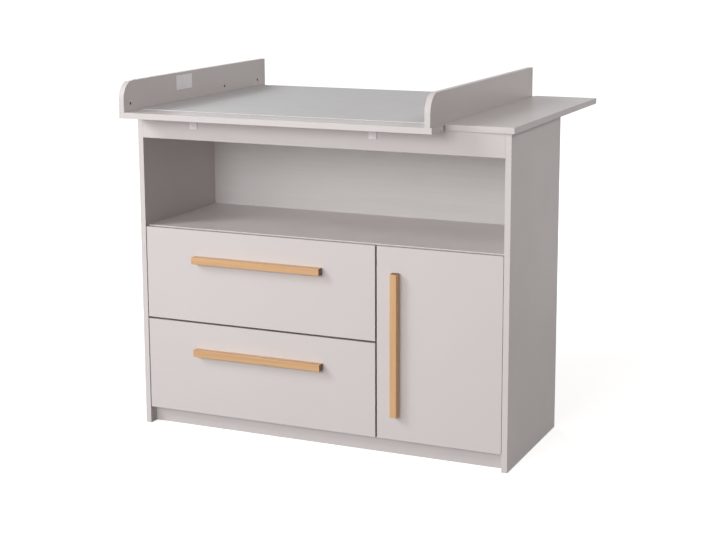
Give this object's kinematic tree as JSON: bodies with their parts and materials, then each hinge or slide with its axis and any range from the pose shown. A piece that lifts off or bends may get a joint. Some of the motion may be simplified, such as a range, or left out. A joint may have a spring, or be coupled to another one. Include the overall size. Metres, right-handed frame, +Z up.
{
  "type": "changing dresser",
  "caption": "Changing dresser: a walled changing tray and a narrow side board on top, an open compartment, and stacked drawers beside a hinged door, all with wooden bar handles.",
  "frame": {"origin": "on the floor below the middle of the footprint over tray and side board", "axes": "+Z up, the fronts face -Y, +X to the right as seen from the front"},
  "size_m": [1.0874, 0.834, 0.979],
  "materials": {
    "white_board": "satin white melamine foil on board, edges banded in the same white",
    "thin_panel": "matt white lacquered hardboard",
    "handle_wood": "oiled light hardwood with straight grain",
    "dowel_wood": "plain beech",
    "runner_steel": "white powder coat on rolled steel",
    "bracket_steel": "white powder coat",
    "wheel_nylon": "off-white nylon",
    "hinge_steel": "nickel plated steel",
    "zinc_cams": "die-cast zinc",
    "steel_screws": "zinc plated steel"
  },
  "bodies": {
    "carcass": {"left_side_panel": "white_board", "right_side_panel": "white_board", "bottom_panel": "white_board", "compartment_floor": "white_board", "divider": "white_board", "front_rail": "white_board", "rear_rail": "white_board", "front_plinth": "white_board", "rear_plinth": "white_board", "back_panel": "thin_panel", "adjustable_shelf": "white_board", "shelf_pins": "steel_screws", "carcass_dowels": "dowel_wood", "cam_bolts": "steel_screws", "cam_locks": "zinc_cams", "upper_left_cabinet_runner": "runner_steel", "upper_right_cabinet_runner": "runner_steel", "lower_left_cabinet_runner": "runner_steel", "lower_right_cabinet_runner": "runner_steel", "upper_hinge_arm": "hinge_steel", "lower_hinge_arm": "hinge_steel", "hinge_plates": "hinge_steel", "tray_base": "white_board", "left_tray_wall": "white_board", "right_tray_wall": "white_board", "tray_floor_panel": "thin_panel", "tray_wall_screws": "steel_screws", "front_tray_brackets": "bracket_steel", "rear_tray_brackets": "bracket_steel", "side_board": "white_board", "side_board_brackets": "bracket_steel"},
    "upper_drawer": {"upper_drawer_front": "white_board", "upper_drawer_back": "white_board", "upper_drawer_bottom": "thin_panel", "upper_drawer_left_side": "white_board", "upper_drawer_right_side": "white_board", "upper_drawer_left_runner": "runner_steel", "upper_drawer_right_runner": "runner_steel", "upper_drawer_handle": "handle_wood", "upper_drawer_handle_screws": "steel_screws", "upper_drawer_pegs": "dowel_wood"},
    "lower_drawer": {"lower_drawer_front": "white_board", "lower_drawer_back": "white_board", "lower_drawer_bottom": "thin_panel", "lower_drawer_left_side": "white_board", "lower_drawer_right_side": "white_board", "lower_drawer_left_runner": "runner_steel", "lower_drawer_right_runner": "runner_steel", "lower_drawer_handle": "handle_wood", "lower_drawer_handle_screws": "steel_screws", "lower_drawer_pegs": "dowel_wood"},
    "door": {"door_panel": "white_board", "door_handle": "handle_wood", "door_handle_screws": "steel_screws", "upper_hinge_cup": "hinge_steel", "lower_hinge_cup": "hinge_steel"},
    "upper_front_wheels": {"upper_front_wheels": "wheel_nylon"},
    "lower_front_wheels": {"lower_front_wheels": "wheel_nylon"},
    "upper_rear_wheels": {"upper_rear_wheels": "wheel_nylon"},
    "lower_rear_wheels": {"lower_rear_wheels": "wheel_nylon"}
  },
  "joints": [
    {"name": "upper_drawer_slide", "type": "slide", "parent": "carcass", "child": "upper_drawer", "axis": [0, -1, 0], "range_m": [0, 0.28]},
    {"name": "lower_drawer_slide", "type": "slide", "parent": "carcass", "child": "lower_drawer", "axis": [0, -1, 0], "range_m": [0, 0.28]},
    {"name": "door_hinge", "type": "hinge", "parent": "carcass", "child": "door", "pos_m": [0.51725, -0.325, 0.3085], "axis": [0, 0, 1], "range_deg": [0, 95]},
    {"name": "upper_front_wheels_turn", "type": "hinge", "parent": "carcass", "child": "upper_front_wheels", "pos_m": [0, -0.2905, 0.3367], "axis": [1, 0, 0], "range_deg": [0, 1460]},
    {"name": "upper_rear_wheels_turn", "type": "hinge", "parent": "upper_drawer", "child": "upper_rear_wheels", "pos_m": [0, 0.027, 0.3365], "axis": [1, 0, 0], "range_deg": [0, 1460]},
    {"name": "lower_front_wheels_turn", "type": "hinge", "parent": "carcass", "child": "lower_front_wheels", "pos_m": [0, -0.2905, 0.0847], "axis": [1, 0, 0], "range_deg": [0, 1460]},
    {"name": "lower_rear_wheels_turn", "type": "hinge", "parent": "lower_drawer", "child": "lower_rear_wheels", "pos_m": [0, 0.027, 0.0845], "axis": [1, 0, 0], "range_deg": [0, 1460]}
  ],
  "couplings": [
    {"joint": "upper_front_wheels_turn", "follows": "upper_drawer_slide", "rad_per_m": 90.909},
    {"joint": "upper_rear_wheels_turn", "follows": "upper_drawer_slide", "rad_per_m": 90.909},
    {"joint": "lower_front_wheels_turn", "follows": "lower_drawer_slide", "rad_per_m": 90.909},
    {"joint": "lower_rear_wheels_turn", "follows": "lower_drawer_slide", "rad_per_m": 90.909}
  ]
}
